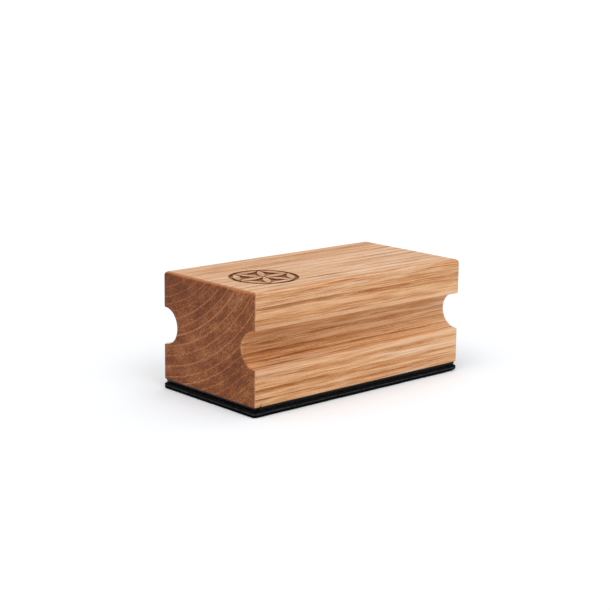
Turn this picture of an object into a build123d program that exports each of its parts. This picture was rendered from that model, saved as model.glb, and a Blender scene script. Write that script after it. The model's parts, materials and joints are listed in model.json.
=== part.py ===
"""Wooden chalkboard eraser: a grooved ash handle on a felt pad that can be changed.

The handle is one block of ash with a finger groove along each long side and a compass-drawn rosette engraved in its
top. A sheet of hook tape is glued under the handle, and the felt pad clings to its hooks, so a worn pad comes off.

Frame, in millimetres: the origin is the centre of the felt's wiping face, X runs along the handle, Y across it and
+Z up. Every piece is symmetric about the XZ and YZ planes, apart from the rosette near the -X end.
"""

import os

from build123d import *

# Handle
LENGTH = 120.0
WIDTH = 60.0
HANDLE_HEIGHT = 47.3
TOP_EDGE_RADIUS = 1.8
END_EDGE_RADIUS = 0.5
BOTTOM_EDGE_RADIUS = 0.5

# Finger grooves, cut along both long sides by a round-nosed cutter
GROOVE_RADIUS = 8.0
GROOVE_DEPTH = 8.8
GROOVE_LIP_RADIUS = 0.6

# Rosette: petals left standing in a sunken disc, six from its centre and six from tip to tip
ROSETTE_FROM_END = 25.0
ROSETTE_OFF_CENTRE = -6.0
ROSETTE_RADIUS = 14.8
ROSETTE_DEPTH = 0.7
COMPASS_RADIUS = 13.2
PETAL_GAP = 0.45
PETAL_COUNT = 6
RIM_PETAL_TURN = 120

# Layers under the handle, from the wiping face upwards
FELT_THICKNESS = 2.5
FELT_CORNER_RADIUS = 1.2
FELT_WIPING_EDGE_RADIUS = 1.1
FELT_UPPER_EDGE_RADIUS = 0.5
HOOK_HEIGHT = 1.0
TAPE_THICKNESS = 0.5
ADHESIVE_THICKNESS = 0.2
TAPE_INSET = 0.5
TAPE_CORNER_RADIUS = 0.6

# One row of hooks, seen along X: a stem that ends in a wider head
HOOK_PITCH = 2.0
HOOK_STEM_WIDTH = 0.4
HOOK_HEAD_WIDTH = 1.0
HOOK_HEAD_HEIGHT = 0.35

hooks_bottom = FELT_THICKNESS
tape_bottom = hooks_bottom + HOOK_HEIGHT
adhesive_bottom = tape_bottom + TAPE_THICKNESS
handle_bottom = adhesive_bottom + ADHESIVE_THICKNESS
handle_top = handle_bottom + HANDLE_HEIGHT
groove_height = handle_bottom + HANDLE_HEIGHT / 2
tape_length = LENGTH - 2 * TAPE_INSET
tape_width = WIDTH - 2 * TAPE_INSET
hook_rows = int((tape_width - HOOK_HEAD_WIDTH) / HOOK_PITCH) + 1


def petal_outline():
    """One petal along +X: the lens between two compass arcs, short of both its points by the petal gap."""
    start = (PETAL_GAP, 0)
    end = (COMPASS_RADIUS - PETAL_GAP, 0)
    with BuildSketch(mode=Mode.PRIVATE) as petal:
        with BuildLine():
            RadiusArc(start, end, COMPASS_RADIUS)
            RadiusArc(end, start, COMPASS_RADIUS)
        make_face()
    return petal.sketch


def groove_lips(vertices):
    """The corners where the grooves open in the long sides, in a section drawn on the YZ plane."""
    return vertices.filter_by(lambda v: abs(v.Y - groove_height) < GROOVE_RADIUS + GROOVE_LIP_RADIUS).filter_by(
        lambda v: abs(v.X) > WIDTH / 2 - GROOVE_LIP_RADIUS / 2
    )


with BuildPart() as wood_handle:
    with BuildSketch(Plane.YZ.offset(-LENGTH / 2)) as section:
        with Locations((0, handle_bottom + HANDLE_HEIGHT / 2)):
            Rectangle(WIDTH, HANDLE_HEIGHT)
        with Locations((-WIDTH / 2, groove_height), (WIDTH / 2, groove_height)):
            SlotOverall(2 * GROOVE_DEPTH, 2 * GROOVE_RADIUS, mode=Mode.SUBTRACT)
        fillet(groove_lips(section.vertices()), GROOVE_LIP_RADIUS)
    extrude(amount=LENGTH)
    fillet(wood_handle.faces().sort_by(Axis.Z)[-1].edges(), TOP_EDGE_RADIUS)
    bottom_face = wood_handle.faces().sort_by(Axis.Z)[0]
    fillet(bottom_face.edges().filter_by(Axis.X), BOTTOM_EDGE_RADIUS)
    end_faces = wood_handle.faces().filter_by(Axis.X)
    fillet(end_faces.edges(), END_EDGE_RADIUS)
    rosette_plane = Plane.XY.offset(handle_top).shift_origin(
        (ROSETTE_FROM_END - LENGTH / 2, ROSETTE_OFF_CENTRE, handle_top)
    )
    with BuildSketch(rosette_plane) as rosette:
        Circle(ROSETTE_RADIUS)
        with PolarLocations(0, PETAL_COUNT):
            add(petal_outline(), mode=Mode.SUBTRACT)
        with PolarLocations(COMPASS_RADIUS, PETAL_COUNT):
            add(petal_outline(), rotation=RIM_PETAL_TURN, mode=Mode.SUBTRACT)
    extrude(amount=-ROSETTE_DEPTH, mode=Mode.SUBTRACT)

with BuildPart() as adhesive_film:
    with BuildSketch(Plane.XY.offset(adhesive_bottom)):
        RectangleRounded(tape_length, tape_width, TAPE_CORNER_RADIUS)
    extrude(amount=ADHESIVE_THICKNESS)

with BuildPart() as hook_tape:
    with BuildSketch(Plane.XY.offset(tape_bottom)):
        RectangleRounded(tape_length, tape_width, TAPE_CORNER_RADIUS)
    extrude(amount=TAPE_THICKNESS)
    with BuildSketch(Plane.YZ.offset(-tape_length / 2 + TAPE_CORNER_RADIUS)):
        with Locations((0, hooks_bottom + HOOK_HEIGHT / 2)):
            with GridLocations(HOOK_PITCH, 0, hook_rows, 1):
                Rectangle(HOOK_STEM_WIDTH, HOOK_HEIGHT)
        with Locations((0, hooks_bottom + HOOK_HEAD_HEIGHT / 2)):
            with GridLocations(HOOK_PITCH, 0, hook_rows, 1):
                RectangleRounded(HOOK_HEAD_WIDTH, HOOK_HEAD_HEIGHT, HOOK_HEAD_HEIGHT / 3)
    extrude(amount=tape_length - 2 * TAPE_CORNER_RADIUS)

with BuildPart() as felt_pad:
    with BuildSketch():
        RectangleRounded(LENGTH, WIDTH, FELT_CORNER_RADIUS)
    extrude(amount=FELT_THICKNESS)
    fillet(felt_pad.faces().sort_by(Axis.Z)[0].edges(), FELT_WIPING_EDGE_RADIUS)
    fillet(felt_pad.faces().sort_by(Axis.Z)[-1].edges(), FELT_UPPER_EDGE_RADIUS)

pieces = {
    "wood_handle": wood_handle.part,
    "adhesive_film": adhesive_film.part,
    "hook_tape": hook_tape.part,
    "felt_pad": felt_pad.part,
}
os.makedirs("parts", exist_ok=True)
for name, piece in pieces.items():
    piece.label = name
    export_step(piece, f"parts/{name}.step")
    print(name, "volume", round(piece.volume), "mm3", "valid", piece.is_valid)
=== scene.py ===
import json
import math
import random
from types import SimpleNamespace

import bpy
from mathutils import Matrix, Vector, noise


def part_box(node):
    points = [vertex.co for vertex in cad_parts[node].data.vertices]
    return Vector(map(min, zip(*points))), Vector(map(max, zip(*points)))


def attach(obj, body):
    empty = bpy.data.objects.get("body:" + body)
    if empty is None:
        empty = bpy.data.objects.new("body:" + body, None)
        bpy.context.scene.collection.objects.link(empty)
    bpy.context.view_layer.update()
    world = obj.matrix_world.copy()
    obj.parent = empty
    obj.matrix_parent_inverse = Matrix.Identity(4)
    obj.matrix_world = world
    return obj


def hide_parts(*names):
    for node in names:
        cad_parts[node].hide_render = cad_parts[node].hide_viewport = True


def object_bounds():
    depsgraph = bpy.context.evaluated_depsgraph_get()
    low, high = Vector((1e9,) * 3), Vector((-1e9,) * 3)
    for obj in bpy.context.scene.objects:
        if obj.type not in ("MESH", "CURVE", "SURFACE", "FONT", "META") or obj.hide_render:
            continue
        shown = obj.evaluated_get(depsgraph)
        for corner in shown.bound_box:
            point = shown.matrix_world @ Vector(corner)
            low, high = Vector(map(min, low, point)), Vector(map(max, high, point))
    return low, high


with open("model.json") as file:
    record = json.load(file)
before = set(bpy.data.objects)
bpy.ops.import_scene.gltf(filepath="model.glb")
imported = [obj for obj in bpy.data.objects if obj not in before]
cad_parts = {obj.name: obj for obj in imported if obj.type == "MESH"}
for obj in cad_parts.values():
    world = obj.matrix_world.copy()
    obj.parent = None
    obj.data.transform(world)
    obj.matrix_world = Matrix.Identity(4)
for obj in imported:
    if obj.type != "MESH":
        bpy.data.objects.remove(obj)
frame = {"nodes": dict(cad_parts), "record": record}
cad_low, cad_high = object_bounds()
handle_low, handle_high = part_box("wood_handle")
tape_low, tape_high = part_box("hook_tape")
felt_low, felt_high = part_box("felt_pad")

MM = 0.001

# --------------------------------------------------------------------------------------------------
# Camera, floor and light
# --------------------------------------------------------------------------------------------------

CAMERA_LENS_MM = 88.35
CAMERA_AZIMUTH = math.radians(-42.31)
CAMERA_ELEVATION = math.radians(12.41)
CAMERA_ROLL = math.radians(0.75)
CAMERA_DISTANCE = 684.1 * MM
# The point that the camera looks at, as shares of the object's box
LOOK_AT_SHARE = (0.6194, 0.8723, 0.5381)

FLOOR_RADIUS = 14.0
FLOOR_SIDES = 96
# The paper is a little cool, which evens out the warm light that the wood throws on it
FLOOR_COLOUR = (0.875, 0.9, 0.925, 1.0)

SKY_ZENITH = 1.0
BACKDROP_WHITE = 1.05

# Soft boxes round the table: azimuth and elevation in degrees, and strength
SOFT_BOX_ANGLE = math.radians(45)
SOFT_BOXES = {
    "front": (0, 40, 1.07),
    "left": (-80, 55, 0.85),
    "right": (95, 45, 0.18),
}


def direction_from(azimuth, elevation):
    """The unit vector from the object to a viewer: azimuth 0 is the -Y side, 90 degrees the +X side."""
    level = math.cos(elevation)
    return Vector((math.sin(azimuth) * level, -math.cos(azimuth) * level, math.sin(elevation)))


def add_camera():
    size = cad_high - cad_low
    target = cad_low + Vector(share * side for share, side in zip(LOOK_AT_SHARE, size))
    back = direction_from(CAMERA_AZIMUTH, CAMERA_ELEVATION)
    turn = back.to_track_quat("Z", "Y").to_matrix() @ Matrix.Rotation(CAMERA_ROLL, 3, "Z")
    data = bpy.data.cameras.new("camera")
    data.lens = CAMERA_LENS_MM
    data.sensor_width = 36
    data.clip_start = 0.01
    data.clip_end = 2 * FLOOR_RADIUS
    camera = bpy.data.objects.new("camera", data)
    camera.matrix_world = Matrix.Translation(target + back * CAMERA_DISTANCE) @ turn.to_4x4()
    bpy.context.scene.collection.objects.link(camera)
    bpy.context.scene.camera = camera


def add_soft_box(name, azimuth, elevation, strength):
    data = bpy.data.lights.new(name, "SUN")
    data.angle = SOFT_BOX_ANGLE
    data.energy = strength
    light = bpy.data.objects.new(name, data)
    towards = direction_from(math.radians(azimuth), math.radians(elevation))
    light.matrix_world = towards.to_track_quat("Z", "Y").to_matrix().to_4x4()
    bpy.context.scene.collection.objects.link(light)


# --------------------------------------------------------------------------------------------------
# Node trees, written as formulas
# --------------------------------------------------------------------------------------------------


def srgb(red, green, blue):
    """A colour given as 0 to 255 on a screen, as the linear values that shaders take."""

    def linear(value):
        share = value / 255
        return share / 12.92 if share <= 0.04045 else ((share + 0.055) / 1.055) ** 2.4

    return (linear(red), linear(green), linear(blue), 1.0)


class Field:
    """A number that varies over a surface. Arithmetic on it adds nodes to the tree that it comes from."""

    def __init__(self, graph, socket):
        self.graph = graph
        self.socket = socket

    def __add__(self, other):
        return self.graph.math("ADD", self, other)

    def __radd__(self, other):
        return self.graph.math("ADD", other, self)

    def __sub__(self, other):
        return self.graph.math("SUBTRACT", self, other)

    def __rsub__(self, other):
        return self.graph.math("SUBTRACT", other, self)

    def __mul__(self, other):
        return self.graph.math("MULTIPLY", self, other)

    def __rmul__(self, other):
        return self.graph.math("MULTIPLY", other, self)

    def __truediv__(self, other):
        return self.graph.math("DIVIDE", self, other)

    def __abs__(self):
        return self.graph.math("ABSOLUTE", self)


class Graph:
    """A node tree being built."""

    def __init__(self, tree):
        self.tree = tree

    def add(self, kind, **settings):
        node = self.tree.nodes.new(kind)
        for name, value in settings.items():
            setattr(node, name, value)
        return node

    def feed(self, socket, value):
        if isinstance(value, Field):
            self.tree.links.new(value.socket, socket)
        else:
            socket.default_value = value

    def math(self, operation, *values):
        node = self.add("ShaderNodeMath", operation=operation)
        for socket, value in zip(node.inputs, values):
            self.feed(socket, value)
        return Field(self, node.outputs[0])

    def vector(self, x, y, z):
        node = self.add("ShaderNodeCombineXYZ")
        for socket, value in zip(node.inputs, (x, y, z)):
            self.feed(socket, value)
        return Field(self, node.outputs[0])

    def parts(self, vector):
        node = self.add("ShaderNodeSeparateXYZ")
        self.feed(node.inputs[0], vector)
        return [Field(self, socket) for socket in node.outputs]

    def coordinates(self, kind):
        """The surface's own point or normal, in the object's frame, so that it moves with the object."""
        node = self.add("ShaderNodeTexCoord")
        return self.parts(Field(self, node.outputs[kind]))

    def point_mm(self):
        return [value * 1000 for value in self.coordinates("Object")]

    def scaled(self, point, sizes):
        """The point, measured in units of a size of its own in each direction."""
        return self.vector(*(value / size for value, size in zip(point, sizes)))

    def noise(self, point, sizes, detail=2.0, roughness=0.5, distortion=0.0):
        """Smooth noise from about 0.2 to 0.8, in lumps that are about sizes across."""
        node = self.add("ShaderNodeTexNoise")
        self.feed(node.inputs["Vector"], self.scaled(point, sizes))
        self.feed(node.inputs["Scale"], 1.0)
        self.feed(node.inputs["Detail"], detail)
        self.feed(node.inputs["Roughness"], roughness)
        self.feed(node.inputs["Distortion"], distortion)
        return Field(self, node.outputs[0])

    def cells(self, point, sizes):
        """Distance from the middle of the nearest of many scattered cells, which are about sizes across."""
        node = self.add("ShaderNodeTexVoronoi")
        self.feed(node.inputs["Vector"], self.scaled(point, sizes))
        self.feed(node.inputs["Scale"], 1.0)
        return Field(self, node.outputs["Distance"])

    def step(self, value, start, end, low=0.0, high=1.0):
        """Goes smoothly from low to high as value goes from start to end."""
        node = self.add("ShaderNodeMapRange", interpolation_type="SMOOTHSTEP")
        inputs = {"Value": value, "From Min": start, "From Max": end, "To Min": low, "To Max": high}
        for name, item in inputs.items():
            self.feed(node.inputs[name], item)
        return Field(self, node.outputs[0])

    def curve(self, value, points):
        """A curve of straight runs through the points, whose values all lie from 0 to 1."""
        node = self.add("ShaderNodeFloatCurve")
        line = node.mapping.curves[0]
        line.points[0].location = points[0]
        line.points[1].location = points[-1]
        for point in points[1:-1]:
            line.points.new(*point)
        for point in line.points:
            point.handle_type = "VECTOR"
        node.mapping.update()
        self.feed(node.inputs["Value"], value)
        return Field(self, node.outputs[0])

    def mix(self, share, first, second):
        """A colour between two, all first where share is 0 and all second where it is 1."""
        node = self.add("ShaderNodeMix", data_type="RGBA")
        self.feed(node.inputs["Factor"], share)
        self.feed(node.inputs[6], first)
        self.feed(node.inputs[7], second)
        return Field(self, node.outputs[2])

    def ramp(self, value, stops):
        """The colours of the stops, each given with the value that it belongs to."""
        node = self.add("ShaderNodeValToRGB")
        elements = node.color_ramp.elements
        for place, _ in stops[2:]:
            elements.new(place)
        for element, (place, colour) in zip(elements, stops):
            element.position = place
            element.color = colour
        self.feed(node.inputs["Fac"], value)
        return Field(self, node.outputs["Color"])


class Surface(Graph):
    """The node tree of a new material around its one Principled shader."""

    def __init__(self, name):
        self.material = bpy.data.materials.new(name)
        self.material.use_nodes = True
        super().__init__(self.material.node_tree)
        self.shader = self.tree.nodes["Principled BSDF"]

    def set(self, **inputs):
        for name, value in inputs.items():
            self.feed(self.shader.inputs[name.replace("_", " ")], value)

    def bump(self, height_mm, strength=1.0):
        """Relief that a height in millimetres gives to the surface."""
        node = self.add("ShaderNodeBump")
        self.feed(node.inputs["Strength"], strength)
        self.feed(node.inputs["Distance"], MM)
        self.feed(node.inputs["Height"], height_mm)
        self.feed(self.shader.inputs["Normal"], Field(self, node.outputs[0]))


# --------------------------------------------------------------------------------------------------
# Ash wood
# --------------------------------------------------------------------------------------------------

# The tree's centre line, the pith, runs along X outside the block: its Y and Z in millimetres
PITH_Y = 44.0
PITH_Z = 102.0
# The growth rings, in millimetres: their average width, and how far one year's may be from it
RING_WIDTH = 4.0
RING_WIDTH_CHANGE = 0.8
WIDEST_RING = RING_WIDTH + RING_WIDTH_CHANGE
# How strongly the open early wood of a ring shows, from the block's innermost ring to its outermost, and how
# far one ring may be from that
INNER_RING_STRENGTH = 0.4
OUTER_RING_STRENGTH = 0.8
RING_STRENGTH_CHANGE = 0.15
RING_SEED = 7
# How far round the pith a point lies is measured at this radius, halfway through the block
MIDDLE_RADIUS = 90.0
# Rings bend gently along the block and ripple a little, in millimetres
RING_SWAY = 1.0
RING_RIPPLE = 0.6
# How wide the early wood shows, in millimetres: on a cut along the fibres, and on one across them
EARLY_WOOD_WIDTH = 1.6
END_LINE_WIDTH = 0.65

# Zones of the tree, each as two distances from the pith: where it begins, and where it is reached in full
HEART_RINGS = (66, 54)
INNER_RINGS = (96, 82)
OUTER_RINGS = (95, 101)
PALE_RINGS = (100, 110)
OUTERMOST_RINGS = (104, 110)
# On a cut across the fibres: where the wood darkens, and where the lines of early wood grow faint, which is a
# zone round the pith as well
DARK_END_RINGS = (86, 62)
FAINT_LINE_RINGS = (96, 104)
FAINT_LINE_AROUND = (-30, -50)

# How much each mark in the wood darkens it, on a cut along the fibres and on one across them
LONG_MARKS = {
    "broad": 0.6,
    "streak": 0.6,
    "fibre": 1.5,
    "line": 0.5,
    "vessel": 0.16,
    "pore": 0.22,
    "ray": 0.08,
}
END_MARKS = {"cloud": 0.7, "dash": 0.6, "streak": 0.5, "fibre": 0.9, "vessel": 0.08}

# Wood colours from the palest fibre to the darkest. The outer rings are warmer than the inner ones
INNER_TONES = [
    (0.0, srgb(236, 203, 172)),
    (0.35, srgb(214, 171, 135)),
    (0.65, srgb(186, 131, 90)),
    (1.0, srgb(142, 87, 52)),
]
OUTER_TONES = [
    (0.0, srgb(228, 182, 138)),
    (0.35, srgb(205, 147, 97)),
    (0.65, srgb(172, 106, 56)),
    (1.0, srgb(126, 66, 30)),
]
END_TONES = [
    (0.0, srgb(198, 138, 96)),
    (0.4, srgb(138, 76, 37)),
    (0.65, srgb(106, 54, 26)),
    (1.0, srgb(68, 36, 22)),
]
# Painted highlight down the upright edges between the ends and the long sides
UPRIGHT_EDGE_HIGHLIGHT = srgb(226, 180, 140)
# The top edge of each end is eased for this far down, in millimetres, and the sanding leaves it paler
EASED_DEPTH = 0.75
EASED_END = srgb(180, 116, 72)
# Painted highlights on the lips of the grooves: how far the middle of a pale band lies above or below the
# groove's middle, and how far the band fades out to each side, in millimetres
LIP_DISTANCE = 9.1
LIP_REACH = 1.4
LIP_HIGHLIGHT = srgb(232, 190, 152)
ENGRAVED_WOOD = srgb(156, 102, 60)
# The engraving's darkest colour: char, and painted shade on its walls
CHARRED_AND_SHADED_WOOD = srgb(84, 46, 20)

# The engraving, in millimetres: where its disc lies on the top, and how wide it is
ENGRAVING_FROM_END = 25.0
ENGRAVING_OFF_CENTRE = -6.0
ENGRAVING_RADIUS = 14.8


def growth_rings():
    """Where the rings that cross the block begin, and each one's width and how strongly it shows."""
    years = random.Random(RING_SEED)
    bend = RING_SWAY + RING_RIPPLE
    first = math.hypot(handle_high.y / MM - PITH_Y, handle_high.z / MM - PITH_Z) - bend
    last = math.hypot(handle_low.y / MM - PITH_Y, handle_low.z / MM - PITH_Z) + bend
    rings = []
    radius = first
    while radius < last:
        width = RING_WIDTH + years.uniform(-RING_WIDTH_CHANGE, RING_WIDTH_CHANGE)
        outwards = (radius - first) / (last - first)
        strength = INNER_RING_STRENGTH + (OUTER_RING_STRENGTH - INNER_RING_STRENGTH) * outwards
        strength += years.uniform(-RING_STRENGTH_CHANGE, RING_STRENGTH_CHANGE)
        rings.append((width, strength))
        radius += width
    return first, rings


FIRST_RING_RADIUS, RINGS = growth_rings()


def ring_number(wood, radius):
    """Counts rings outwards: the whole part says which ring a point is in, the rest how far through it."""
    total = sum(width for width, _ in RINGS)
    edges = [(0.0, 0.0)]
    for count, (width, _) in enumerate(RINGS, start=1):
        edges.append((edges[-1][0] + width / total, count / len(RINGS)))
    return wood.curve((radius - FIRST_RING_RADIUS) / total, edges) * len(RINGS)


def ring_value(wood, ring, values):
    """The value, from 0 to 1, of the ring that a point is in."""
    middles = [((count + 0.5) / len(RINGS), value) for count, value in enumerate(values)]
    ends = [(0.0, values[0]), *middles, (1.0, values[-1])]
    return wood.curve((wood.math("FLOOR", ring) + 0.5) / len(RINGS), ends)


def wood_at_point(wood):
    """What the wood is like at the point being coloured, as named fields.

    from_pith and around place the point in the tree, and tree is that place with the rings' sway in it. The
    next fields are the marks that cross the point, and the last ones say where on the block it lies.
    """
    block = wood.point_mm()
    x, y, z = block
    across = y - PITH_Y
    below = PITH_Z - z
    from_pith = wood.math("SQRT", across * across + below * below)
    around = wood.math("ARCTAN2", across, below) * MIDDLE_RADIUS
    sway = wood.noise(block, (75, 50, 50)) - 0.5
    ripple = wood.noise(block, (28, 5, 5)) - 0.5
    radius = from_pith + sway * RING_SWAY + ripple * RING_RIPPLE
    tree = (x, radius, around)

    # Long fibres, in three widths, and patches in which the early wood shows more or less
    broad = wood.noise(tree, (110, 2.2, 2.2)) - 0.5
    streak = wood.noise(tree, (70, 0.8, 0.8)) - 0.5
    fibre = wood.noise(tree, (18, 0.3, 0.3)) - 0.5
    patch = wood.noise(tree, (50, 5, 5))
    # Short marks and soft clouds, which show on a cut across the fibres
    dash = wood.noise(tree, (20, 0.5, 3)) - 0.5
    cloud = wood.noise(tree, (40, 5, 9)) - 0.5

    # Early wood is darkest where its ring begins, and fades outwards
    ring = ring_number(wood, radius)
    strength = ring_value(wood, ring, [value for _, value in RINGS])
    ring_width = ring_value(wood, ring, [width / WIDEST_RING for width, _ in RINGS]) * WIDEST_RING
    into_ring = wood.math("FRACT", ring) * ring_width
    depth = into_ring + streak * 1.2
    early = wood.step(depth, 0.0, 0.12) * wood.step(depth, EARLY_WOOD_WIDTH + broad * 2.5, 0.0)
    line = early * strength * wood.step(patch, 0.3, 0.6, 0.45, 1.0)

    # Vessels: long open tubes, crowded in the early wood and few in the late wood
    crowd = 0.16 + early * 0.3
    vessel = wood.step(wood.cells(tree, (9, 0.32, 0.32)), crowd, crowd - 0.12)
    # Pores: short cuts through the vessels, where the cut leaves their line, in bands
    pore_band = wood.step(wood.noise(tree, (60, 2.2, 5)), 0.5, 0.64)
    pore = wood.step(wood.cells(tree, (0.9, 0.4, 0.4)), 0.34, 0.2) * pore_band
    # Rays: thin sheets that run outwards from the pith
    ray = wood.step(wood.noise(tree, (1.5, 8, 0.3), detail=1), 0.54, 0.68)

    normal_x, _, normal_z = wood.coordinates("Normal")
    return SimpleNamespace(
        x=x, y=y, z=z, from_pith=from_pith, around=around, tree=tree, into_ring=into_ring, strength=strength,
        broad=broad, streak=streak, fibre=fibre, patch=patch, dash=dash, cloud=cloud,
        line=line, vessel=vessel, pore=pore, ray=ray,
        facing_x=abs(normal_x),
        facing_z=abs(normal_z),
        end_share=wood.step(abs(normal_x), 0.1, 0.75),
        below_top=handle_high.z / MM - z,
    )


def darkening(at, marks):
    """All the marks at the point, each as strong as it is listed."""
    return sum(getattr(at, name) * strength for name, strength in marks.items())


def long_grain_colour(wood, at):
    """The colour of a cut along the fibres."""
    heart = wood.step(at.from_pith, *HEART_RINGS)
    inner = wood.step(at.from_pith, *INNER_RINGS)
    outermost = wood.step(at.from_pith, *OUTERMOST_RINGS)
    # Painted light, partly the wood's own change: paler towards the +X end, in the groove and below it
    painted_light_and_tone_along = wood.step(at.from_pith, *OUTER_RINGS, 0.0003, 0.003) - outermost * 0.001
    tone = 0.32 - at.x * painted_light_and_tone_along - inner * 0.08 + heart * 0.07
    tone = tone - wood.step(at.from_pith, *PALE_RINGS, 0.0, 0.06)
    tone = tone + darkening(at, LONG_MARKS) * (1 + inner * 0.25)
    # The inner rings have the paler tones, and so do patches of the outer ones
    blush = wood.noise(at.tree, (45, 3, 3)) - 0.5
    inner_tones = inner - heart * 0.4 + blush * (2.4 + outermost * 2.6) - 0.05
    return wood.mix(inner_tones, wood.ramp(tone, OUTER_TONES), wood.ramp(tone, INNER_TONES))


def end_grain_colour(wood, at):
    """The colour of a cut across the fibres, where the early wood shows as a thin pale line."""
    depth = at.into_ring + at.streak * 0.5
    line = wood.step(depth, 0.0, 0.15) * wood.step(depth, END_LINE_WIDTH + 0.25, END_LINE_WIDTH - 0.15)
    line = line * at.strength * wood.step(at.dash + at.cloud, -0.15, 0.15, 0.4, 1.0)
    faint = wood.step(at.from_pith, *FAINT_LINE_RINGS) * wood.step(at.around, *FAINT_LINE_AROUND, 0.0, 0.55)
    tone = 0.45 + darkening(at, END_MARKS) - line * (1 - faint) * 0.55
    tone = tone + wood.step(at.from_pith, *DARK_END_RINGS) * 0.08
    return wood.ramp(tone, END_TONES)


def with_highlights_and_eased_ends(wood, at, colour):
    """The colour, with painted highlights on the upright edges and groove lips, and paler eased ends."""
    # Painted highlight down the upright edges
    upright_highlight = wood.step(at.facing_x, 0.1, 0.45) * wood.step(at.facing_x, 0.97, 0.8)
    upright_highlight = upright_highlight * wood.step(at.facing_z, 0.5, 0.2)
    colour = wood.mix(upright_highlight * 0.3, colour, UPRIGHT_EDGE_HIGHLIGHT)

    # The middle of the space that the record keeps open in a groove is the groove's own middle
    space_low, space_high = frame["record"]["physics"]["openings"][0]["box_m"]
    groove_middle = (space_low[2] + space_high[2]) / 2 / MM
    from_band = abs(abs(at.z - groove_middle) - LIP_DISTANCE)
    side = handle_high.y / MM
    on_side = wood.step(abs(at.y), side - 0.8, side - 0.3) * (1 - at.end_share)
    # Painted highlight along both lips of the groove, broken up by the grain
    lip = wood.step(from_band, LIP_REACH, 0.6) * on_side
    lip = lip * wood.step(at.patch + at.streak, 0.25, 0.65, 0.25, 0.6)
    colour = wood.mix(lip, colour, LIP_HIGHLIGHT)

    eased = wood.step(at.below_top, EASED_DEPTH + 0.15, EASED_DEPTH - 0.15) * wood.step(at.facing_x, 0.1, 0.3)
    eased = eased * wood.step(at.dash + at.cloud + at.streak, -0.25, 0.2, 1.0, 0.5)
    return wood.mix(eased, colour, EASED_END)


def with_engraving(wood, at, colour):
    """The colour: toasted round the engraving, scorched in its sunken ground, and darker on its walls."""
    from_x = at.x - (handle_low.x / MM + ENGRAVING_FROM_END)
    from_y = at.y - ENGRAVING_OFF_CENTRE
    from_centre = wood.math("SQRT", from_x * from_x + from_y * from_y)
    in_disc = wood.step(from_centre, ENGRAVING_RADIUS + 0.4, ENGRAVING_RADIUS + 0.1)
    toasted = in_disc * wood.step(at.streak + at.fibre, -0.1, 0.15, 0.1, 0.6)
    colour = wood.mix(toasted, colour, ENGRAVED_WOOD)
    sunken = in_disc * wood.step(at.below_top, 0.04, 0.3)
    # Darker on the walls: partly char, partly painted shade in the recess
    wall = wood.step(at.facing_z, 0.9, 0.4)
    scorch_and_shade = 0.1 + wall * 0.65 + at.line * 0.9 + at.streak * 3 + at.fibre * 2
    return wood.mix(sunken * 0.95, colour, wood.mix(scorch_and_shade, ENGRAVED_WOOD, CHARRED_AND_SHADED_WOOD))


def wood_material():
    """Solid ash, coloured by where a point lies in the tree, so that every cut face shows the same rings."""
    wood = Surface("ash_wood")
    at = wood_at_point(wood)
    colour = wood.mix(at.end_share, long_grain_colour(wood, at), end_grain_colour(wood, at))
    colour = with_highlights_and_eased_ends(wood, at, colour)
    wood.set(
        Base_Color=with_engraving(wood, at, colour),
        Roughness=0.46 + at.line * 0.12 + at.vessel * 0.1 + at.end_share * 0.2 + at.fibre * 0.2,
        IOR=1.45,
        Specular_IOR_Level=0.3,
    )
    wood.bump(at.fibre * 0.05 + at.streak * 0.05 - at.vessel * 0.05 - at.line * 0.06, 0.6)
    return wood.material


# --------------------------------------------------------------------------------------------------
# Black felt, nylon and glue
# --------------------------------------------------------------------------------------------------

FELT_BLACK = srgb(2, 2, 2)
FELT_GREY = srgb(22, 21, 22)
FELT_NAP = srgb(50, 49, 51)
# A painted highlight along the crease between the plies
FELT_CREASE_HIGHLIGHT = srgb(66, 66, 69)
NYLON_BLACK = srgb(7, 7, 8)
NYLON_GREY = srgb(17, 17, 19)
GLUE_BLACK = srgb(20, 18, 17)

# The felt is two plies pressed together: the height of the line between them, in millimetres
FELT_PLY = 1.4


def felt_material():
    """Matted wool: crossing fibres, small clumps and a soft sheen."""
    felt = Surface("black_felt")
    point = felt.point_mm()
    _, _, z = point
    clumps = felt.noise(point, (1.6, 1.6, 1.2), detail=3, roughness=0.6)
    one_way = felt.noise(point, (1.1, 0.12, 0.12), distortion=1.5)
    other_way = felt.noise(point, (0.12, 1.1, 0.12), distortion=1.5)
    fibres = felt.math("MAXIMUM", one_way, other_way)
    light = felt.step(fibres, 0.5, 0.75) * 0.7 + felt.step(clumps, 0.4, 0.7) * 0.2
    # Painted highlight: a pale band along the crease between the plies
    crease_highlight = felt.step(z, FELT_PLY - 0.2, FELT_PLY) * felt.step(z, FELT_PLY + 0.55, FELT_PLY + 0.3)
    # The upper face, which the hooks pull at, and the wiping face are fuzzier than the cut edges
    _, _, normal_z = felt.coordinates("Normal")
    fuzzy = felt.step(abs(normal_z), 0.6, 0.95)
    colour = felt.mix(light, FELT_BLACK, FELT_GREY)
    colour = felt.mix(fuzzy * light, colour, FELT_NAP)
    felt.set(
        Base_Color=felt.mix(crease_highlight * felt.step(clumps, 0.35, 0.6, 0.3, 1.0), colour, FELT_CREASE_HIGHLIGHT),
        Roughness=0.9 + (clumps - 0.5) * 0.15,
        Specular_IOR_Level=0.02,
        Sheen_Weight=0.01,
        Sheen_Roughness=0.5,
    )
    felt.bump(fibres * 0.12 + clumps * 0.15, 0.8)
    return felt.material


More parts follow.
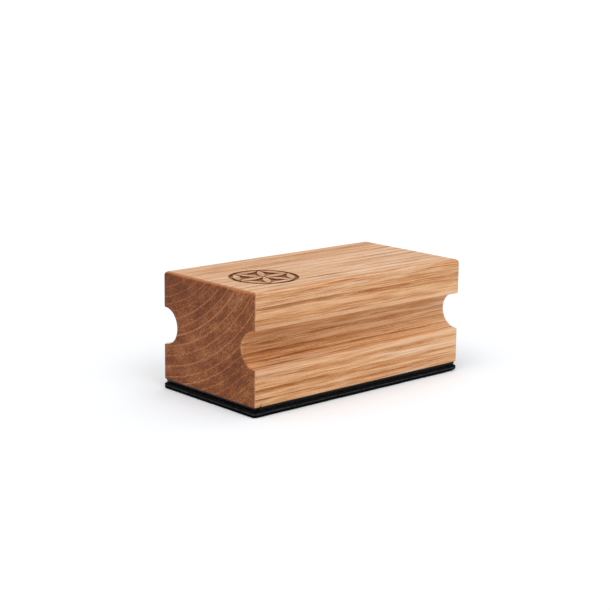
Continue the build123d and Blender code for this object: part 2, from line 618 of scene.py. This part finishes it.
def nylon_material():
    """Moulded nylon: long faint flow marks, and a fine grain that makes it shine unevenly."""
    nylon = Surface("black_nylon")
    point = nylon.point_mm()
    flow = nylon.noise(point, (6, 0.5, 0.5))
    grain = nylon.noise(point, (0.2, 0.2, 0.2))
    nylon.set(
        Base_Color=nylon.mix(nylon.step(flow, 0.4, 0.75), NYLON_BLACK, NYLON_GREY),
        Roughness=0.42 + (grain - 0.5) * 0.3,
        Specular_IOR_Level=0.3,
    )
    nylon.bump(grain * 0.02 + flow * 0.02, 0.6)
    return nylon.material


def glue_material():
    """Squeezed-out glue: glossy and lumpy."""
    glue = Surface("adhesive")
    lumps = glue.noise(glue.point_mm(), (1.5, 1.5, 0.3), detail=3)
    glue.set(
        Base_Color=glue.mix(glue.step(lumps, 0.35, 0.7), GLUE_BLACK, NYLON_GREY),
        Roughness=0.35 + (lumps - 0.5) * 0.5,
    )
    glue.bump(lumps * 0.08, 0.7)
    return glue.material


# --------------------------------------------------------------------------------------------------
# Meshes
# --------------------------------------------------------------------------------------------------


def add_piece(name, verts, faces, material, smooth=True):
    """A new object from vertices in millimetres, in the CAD model's frame."""
    mesh = bpy.data.meshes.new(name)
    mesh.from_pydata([Vector(v) * MM for v in verts], [], faces)
    mesh.materials.append(material)
    mesh.polygons.foreach_set("use_smooth", [smooth] * len(mesh.polygons))
    mesh.update()
    piece = bpy.data.objects.new(name, mesh)
    bpy.context.scene.collection.objects.link(piece)
    return piece


def graded_lines(half, corner, pitch):
    """Positions from -half to half: evenly spaced in the middle, and closer within a corner of each end."""
    inner = half - corner
    count = round(2 * inner / pitch)
    middle = [-inner + 2 * inner * i / count for i in range(count + 1)]
    outer = [inner + corner * step for step in EDGE_STEPS]
    return [-value for value in reversed(outer)] + middle + outer


# The places of the lines across a rounded edge, as shares of its radius
EDGE_STEPS = [0.25, 0.45, 0.62, 0.76, 0.87, 0.95, 1.0]


def rounded_slab(low, high, corner, bottom_round, top_round, pitch, wall_steps=2):
    """A closed slab in millimetres with round upright corners and rounded top and bottom edges.

    Gives its vertices, its faces and, for each vertex, the way that is outwards there.
    """
    half_x = (high.x - low.x) / 2
    half_y = (high.y - low.y) / 2
    inner_x = half_x - corner
    inner_y = half_y - corner
    xs = graded_lines(half_x, corner, pitch)
    ys = graded_lines(half_y, corner, pitch)

    def place(x, y):
        """The grid's square corners drawn in to round ones, and how far the point is from the outline."""
        over_x = (abs(x) - half_x + corner) / corner
        over_y = (abs(y) - half_y + corner) / corner
        reach = max(over_x, over_y)
        if over_x > 0 and over_y > 0:
            shrink = reach / math.hypot(over_x, over_y)
            x = math.copysign(inner_x + over_x * shrink * corner, x)
            y = math.copysign(inner_y + over_y * shrink * corner, y)
        return x, y, max(0.0, 1 - reach) * corner

    def fall(inset, radius):
        """How far a rounded edge has dropped at that distance in from the outline."""
        if inset >= radius:
            return 0.0
        return radius - math.sqrt(radius * radius - (radius - inset) ** 2)

    def way_out(x, y, sign, tilt):
        """Square to the upper or lower face where tilt is 0, and level at the outline, where it is 1."""
        level = Vector((x - max(-inner_x, min(inner_x, x)), y - max(-inner_y, min(inner_y, y)), 0))
        upright = Vector((0, 0, sign * math.sqrt(1 - tilt * tilt)))
        return (level.normalized() * tilt + upright).normalized()

    verts, outward, index = [], [], {}
    for side, sign, height, radius in (("bottom", -1, low.z, bottom_round), ("top", 1, high.z, top_round)):
        for i, x in enumerate(xs):
            for j, y in enumerate(ys):
                px, py, inset = place(x, y)
                tilt = min(1.0, max(0.0, 1 - inset / radius))
                index[side, i, j] = len(verts)
                verts.append(Vector((px, py, height - sign * fall(inset, radius))))
                outward.append(way_out(px, py, sign, tilt))
    faces = []
    last_x, last_y = len(xs) - 1, len(ys) - 1
    for i in range(last_x):
        for j in range(last_y):
            quad = ((i, j), (i + 1, j), (i + 1, j + 1), (i, j + 1))
            faces.append([index["top", a, b] for a, b in quad])
            faces.append([index["bottom", a, b] for a, b in reversed(quad)])
    rim = [(i, 0) for i in range(last_x)] + [(last_x, j) for j in range(last_y)]
    rim += [(i, last_y) for i in range(last_x, 0, -1)] + [(0, j) for j in range(last_y, 0, -1)]
    levels = [[index["bottom", a, b] for a, b in rim]]
    for step in range(1, wall_steps):
        row = []
        for a, b in rim:
            start = verts[index["bottom", a, b]]
            end = verts[index["top", a, b]]
            row.append(len(verts))
            verts.append(start.lerp(end, step / wall_steps))
            upper = outward[index["top", a, b]]
            outward.append(Vector((upper.x, upper.y, 0)).normalized())
        levels.append(row)
    levels.append([index["top", a, b] for a, b in rim])
    for lower, upper in zip(levels, levels[1:]):
        for k in range(len(rim)):
            m = (k + 1) % len(rim)
            faces.append([lower[k], lower[m], upper[m], upper[k]])
    return verts, faces, outward


def tube(verts, faces, path, radii, sides):
    """Adds a closed tube along the path, with a flat cap at each end."""
    first = len(verts)
    across = None
    for k, (point, radius) in enumerate(zip(path, radii)):
        ahead = path[min(k + 1, len(path) - 1)] - path[max(k - 1, 0)]
        ahead.normalize()
        if across is None:
            across = ahead.orthogonal().normalized()
        across = (across - ahead * across.dot(ahead)).normalized()
        other = ahead.cross(across)
        for s in range(sides):
            angle = 2 * math.pi * s / sides
            verts.append(point + (across * math.cos(angle) + other * math.sin(angle)) * radius)
    for k in range(len(path) - 1):
        for s in range(sides):
            a = first + k * sides + s
            b = first + k * sides + (s + 1) % sides
            faces.append([a, b, b + sides, a + sides])
    end = first + (len(path) - 1) * sides
    faces.append([first + s for s in reversed(range(sides))])
    faces.append([end + s for s in range(sides)])


# --------------------------------------------------------------------------------------------------
# Felt pad
# --------------------------------------------------------------------------------------------------

FELT_CORNER = 1.5
FELT_BOTTOM_ROUND = 0.8
FELT_PROUD = 0.45
FELT_TOP_ROUND = 0.5
FELT_PITCH = 1.5
FELT_LUMPS = 0.1
FELT_WANDER = 0.22
FELT_WALL_STEPS = 10
PLY_CREASE_DEPTH = 0.16
PLY_CREASE_WIDTH = 0.16
# The lower ply is worn round at the +X, -Y corner: how far in from it, and what share of the ply's thickness
WORN_REACH = 6.0
WORN_SHARE = 0.65
# Loose ends of wool in the pad's sides, in millimetres
FIBRE_SEED = 11
FIBRE_COUNT = 1500
FIBRE_SIDES = 3
FIBRE_SEGMENTS = 4
FIBRE_LOWEST_ROOT = 0.7
FIBRE_ROOT_DEPTH = 0.35
FIBRE_LENGTHS = (0.5, 1.1)
FIBRE_RADII = (0.018, 0.03)
# Fibres that the hooks have pulled up, in a band round the rim of the pad's upper face
NAP_COUNT = 2600
NAP_INSET = 0.5
NAP_WIDTH = 1.4
NAP_HEIGHT = 0.8
NAP_RADII = (0.07, 0.06, 0.03)
# Two threads that have worked loose at the -X, -Y corner, from that corner of the pad's upper face
LOOSE_THREADS = [
    [(0.9, 0.1, 0.0), (1.5, -0.4, 1.3), (2.5, -0.5, 2.1), (3.3, -0.45, 2.6), (3.7, -0.4, 3.0)],
    [(1.7, 0.1, 0.1), (2.3, -0.4, 1.4), (3.0, -0.45, 1.9)],
]
LOOSE_THREAD_RADIUS = 0.16


def felt_pad(material):
    """The pad: a rounded slab of felt with lumpy faces, wandering sides and a crease between its plies."""
    proud = Vector((FELT_PROUD, FELT_PROUD, 0))
    low = felt_low / MM - proud
    high = felt_high / MM + proud
    verts, faces, outward = rounded_slab(
        low, high, FELT_CORNER, FELT_BOTTOM_ROUND, FELT_TOP_ROUND, FELT_PITCH, FELT_WALL_STEPS
    )
    moved = []
    for vert, away in zip(verts, outward):
        sideways = Vector((away.x, away.y, 0)).length
        lump = noise.noise(vert / 0.9) * FELT_LUMPS
        wander = noise.noise(Vector((vert.x, vert.y, 0)) / 11) * FELT_WANDER * sideways
        crease = math.exp(-(((vert.z - FELT_PLY) / PLY_CREASE_WIDTH) ** 2)) * PLY_CREASE_DEPTH * sideways
        point = vert + away * (lump + wander - crease - FELT_LUMPS)
        from_corner = math.hypot(high.x - point.x, point.y - low.y)
        worn = max(0.0, 1 - from_corner / WORN_REACH) ** 2 * WORN_SHARE
        point.z += max(0.0, FELT_PLY - point.z) * worn
        point.z = max(point.z, low.z)
        moved.append(point)
    piece = add_piece("felt_sheet", moved, faces, material)
    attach(piece, "pad")
    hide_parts("felt_pad")
    return piece


def rim_point(along, half_x, half_y):
    """The point that lies that far round a rectangle, from its corner at +X, -Y."""
    for start, way, length in (
        ((half_x, -half_y), (0, 1), 2 * half_y),
        ((half_x, half_y), (-1, 0), 2 * half_x),
        ((-half_x, half_y), (0, -1), 2 * half_y),
        ((-half_x, -half_y), (1, 0), 2 * half_x),
    ):
        if along <= length:
            break
        along -= length
    return Vector((start[0] + way[0] * along, start[1] + way[1] * along, 0))


def side_point(along, half_x, half_y):
    """The point that lies that far along the two long sides and then the two ends, and the way out from it."""
    if along < 4 * half_x:
        side = 1 if along < 2 * half_x else -1
        reach = half_x - FELT_CORNER
        x = along % (2 * half_x) - half_x
        return Vector((max(-reach, min(reach, x)), side * half_y, 0)), Vector((0, side, 0))
    along -= 4 * half_x
    side = 1 if along < 2 * half_y else -1
    reach = half_y - FELT_CORNER
    y = along % (2 * half_y) - half_y
    return Vector((side * half_x, max(-reach, min(reach, y)), 0)), Vector((side, 0, 0))


def side_fibre(draw, root, away, lowest):
    """The path and radii of a loose end of wool, which bends as it leaves the pad's side."""
    length = draw.uniform(*FIBRE_LENGTHS)
    lean = Vector((draw.gauss(0, 0.8), draw.gauss(0, 0.8), draw.gauss(0.1, 0.5)))
    bend = Vector((draw.gauss(0, 0.7), draw.gauss(0, 0.7), draw.gauss(0.0, 0.6)))
    heading = (away + lean * 0.6).normalized()
    path = [root]
    for _ in range(FIBRE_SEGMENTS):
        heading = (heading + bend * 0.35).normalized()
        point = path[-1] + heading * (length / FIBRE_SEGMENTS)
        point.z = max(point.z, lowest)
        path.append(point)
    radius = draw.uniform(*FIBRE_RADII)
    return path, [radius * (1 - 0.6 * k / FIBRE_SEGMENTS) for k in range(FIBRE_SEGMENTS + 1)]


def nap_fibre(draw, half_x, half_y, top):
    """The path of a fibre that stands up between the hooks."""
    inset = draw.uniform(NAP_INSET, NAP_INSET + NAP_WIDTH)
    root = rim_point(draw.uniform(0, 4 * (half_x + half_y - 2 * inset)), half_x - inset, half_y - inset)
    root.z = top - 0.2
    lean = Vector((draw.gauss(0, 0.25), draw.gauss(0, 0.25), NAP_HEIGHT))
    middle = root + lean * 0.6 + Vector((draw.gauss(0, 0.08), draw.gauss(0, 0.08), 0))
    return [root, middle, root + lean]


def felt_fibres(material):
    """Loose ends of wool round the edge of the pad and in the gap under the tape, and the loose threads."""
    draw = random.Random(FIBRE_SEED)
    low = felt_low / MM
    high = felt_high / MM
    half_x = (high.x - low.x) / 2
    half_y = (high.y - low.y) / 2
    verts, faces = [], []
    for _ in range(FIBRE_COUNT):
        root, away = side_point(draw.uniform(0, 4 * (half_x + half_y)), half_x, half_y)
        root.z = draw.uniform(FIBRE_LOWEST_ROOT, high.z - 0.1)
        path, radii = side_fibre(draw, root - away * FIBRE_ROOT_DEPTH, away, low.z + 0.05)
        tube(verts, faces, path, radii, FIBRE_SIDES)
    for _ in range(NAP_COUNT):
        tube(verts, faces, nap_fibre(draw, half_x, half_y, high.z), NAP_RADII, FIBRE_SIDES)
    corner = Vector((low.x, low.y, high.z))
    for thread in LOOSE_THREADS:
        path = [corner + Vector(point) for point in thread]
        radii = [LOOSE_THREAD_RADIUS * (1 - 0.5 * k / (len(path) - 1)) for k in range(len(path))]
        tube(verts, faces, path, radii, 2 * FIBRE_SIDES)
    piece = add_piece("felt_fibres", verts, faces, material)
    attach(piece, "pad")


# --------------------------------------------------------------------------------------------------
# Hook tape
# --------------------------------------------------------------------------------------------------

BACKING_THICKNESS = 0.5
BACKING_ROUND = 0.12
BACKING_CORNER = 0.6
BACKING_PITCH = 4.0
HOOK_PITCH = 1.5
HOOK_SIDES = 4
HOOK_RADIUS = 0.17
HOOK_TIP_RADIUS = 0.09
HOOK_CURL = 0.3
HOOK_ARC = math.radians(200)
HOOK_ARC_STEPS = 4


def hook_path(root, way, drop):
    """One hook: a stem straight down from inside the backing, then a half turn that ends beside it."""
    curl_centre = root + Vector((way * HOOK_CURL, 0, HOOK_CURL - drop))
    path = [root + Vector((0, 0, 0.1)), Vector((root.x, root.y, curl_centre.z + 0.1))]
    for step in range(HOOK_ARC_STEPS + 1):
        angle = HOOK_ARC * step / HOOK_ARC_STEPS
        path.append(curl_centre + HOOK_CURL * Vector((-way * math.cos(angle), 0, -math.sin(angle))))
    return path


def hook_tape(material):
    """The tape's backing, and its hooks in rows that face each way in turn, closer together along the rim."""
    low = tape_low / MM
    high = tape_high / MM
    backing_low = Vector((low.x, low.y, high.z - BACKING_THICKNESS))
    verts, faces, _ = rounded_slab(
        backing_low, high, BACKING_CORNER, BACKING_ROUND, BACKING_ROUND, BACKING_PITCH
    )
    backing = add_piece("tape_backing", verts, faces, material)
    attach(backing, "handle")
    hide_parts("hook_tape")

    drop = backing_low.z - low.z - HOOK_RADIUS
    reach_x = high.x - HOOK_RADIUS - HOOK_CURL
    reach_y = high.y - HOOK_RADIUS
    # Places at every half pitch, of which the rows and columns inside the rim use every other one
    columns = 2 * round(2 * reach_x / HOOK_PITCH)
    rows = 2 * round(2 * reach_y / HOOK_PITCH)
    verts, faces = [], []
    for row in range(rows + 1):
        way = 1 if row % 4 == 0 else -1
        for column in range(columns + 1):
            on_rim = row in (0, rows) or column in (0, columns)
            if not on_rim and (row % 2 or column % 2):
                continue
            x = reach_x * (2 * column / columns - 1)
            y = reach_y * (2 * row / rows - 1)
            path = hook_path(Vector((x - way * HOOK_CURL, y, backing_low.z)), way, drop)
            last = len(path) - 1
            radii = [HOOK_RADIUS + (HOOK_TIP_RADIUS - HOOK_RADIUS) * k / last for k in range(last + 1)]
            tube(verts, faces, path, radii, HOOK_SIDES)
    hooks = add_piece("tape_hooks", verts, faces, material)
    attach(hooks, "handle")


# --------------------------------------------------------------------------------------------------
# Stage
# --------------------------------------------------------------------------------------------------


def add_floor():
    """A round sheet of studio paper, far wider than the picture."""
    rim = [2 * math.pi * k / FLOOR_SIDES for k in range(FLOOR_SIDES)]
    radius = FLOOR_RADIUS / MM
    verts = [(0, 0, 0)] + [(radius * math.cos(angle), radius * math.sin(angle), 0) for angle in rim]
    faces = [[0, 1 + k, 1 + (k + 1) % FLOOR_SIDES] for k in range(FLOOR_SIDES)]
    paper = Surface("studio_paper")
    tooth = paper.noise(paper.point_mm(), (0.6, 0.6, 0.6))
    paper.set(Base_Color=FLOOR_COLOUR, Roughness=0.9, Specular_IOR_Level=0.0)
    paper.bump(tooth * 0.01, 0.2)
    add_piece("floor", verts, faces, paper.material, smooth=False)


def add_sky():
    """A soft overhead light that fades out towards the horizon, in front of a white backdrop."""
    world = bpy.data.worlds.new("studio")
    world.use_nodes = True
    bpy.context.scene.world = world
    sky = Graph(world.node_tree)
    background = world.node_tree.nodes["Background"]
    background.inputs["Color"].default_value = (1, 1, 1, 1)
    direction = sky.add("ShaderNodeTexCoord").outputs["Generated"]
    _, _, up = sky.parts(Field(sky, direction))
    seen = Field(sky, sky.add("ShaderNodeLightPath").outputs["Is Camera Ray"])
    soft = sky.step(up, 0.0, 1.0, 0.0, SKY_ZENITH)
    sky.feed(background.inputs["Strength"], soft * (1 - seen) + seen * BACKDROP_WHITE)


bpy.context.scene.view_settings.view_transform = "Standard"
add_camera()
add_floor()
add_sky()
for box_name, place in SOFT_BOXES.items():
    add_soft_box(box_name, *place)

felt_look = felt_material()
nylon_look = nylon_material()
felt = felt_pad(felt_look)
felt_fibres(felt_look)
hook_tape(nylon_look)
frame["nodes"]["adhesive_film"].material_slots[0].material = glue_material()
frame["nodes"]["wood_handle"].material_slots[0].material = wood_material()
